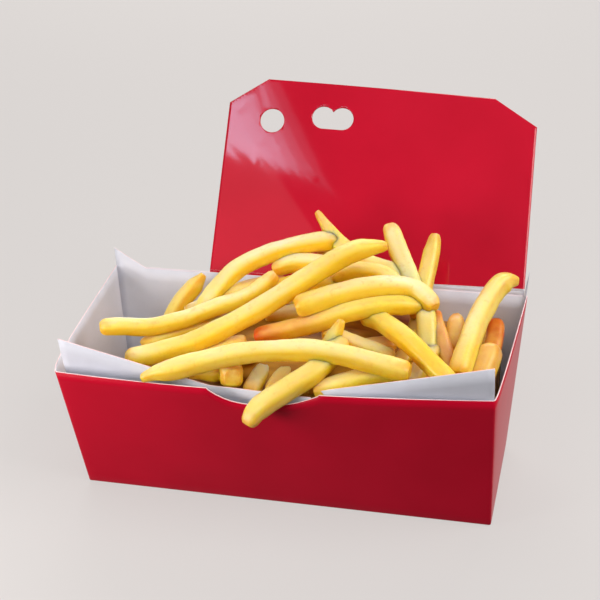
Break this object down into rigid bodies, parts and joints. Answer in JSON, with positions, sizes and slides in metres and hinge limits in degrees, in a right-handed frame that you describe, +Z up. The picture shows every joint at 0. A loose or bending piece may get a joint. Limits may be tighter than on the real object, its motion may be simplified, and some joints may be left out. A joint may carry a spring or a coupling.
{
  "type": "french fries in a carton",
  "caption": "Folded takeaway carton with its hinged lid standing open, filled with a loose heap of golden french fries that hang over its finger notch.",
  "frame": {"origin": "middle of the tray's base, on its underside", "axes": "+X along the carton's length to the viewer's right, +Y to the back where the lid is hinged, +Z up"},
  "size_m": [0.1918, 0.1607, 0.1458],
  "materials": {
    "tray board": "glossy red outside, plain white inside",
    "lid board": "glossy red on both faces, white cut edges",
    "fried potato": null
  },
  "bodies": {
    "tray": {"carton_tray": "tray board", "fries": "fried potato"},
    "lid": {"lid": "lid board"}
  },
  "joints": [
    {"name": "lid_hinge", "type": "hinge", "parent": "tray", "child": "lid", "pos_m": [0.0217, 0.0441, 0.0704], "axis": [1, 0, 0], "range_deg": [-85, 29]}
  ]
}
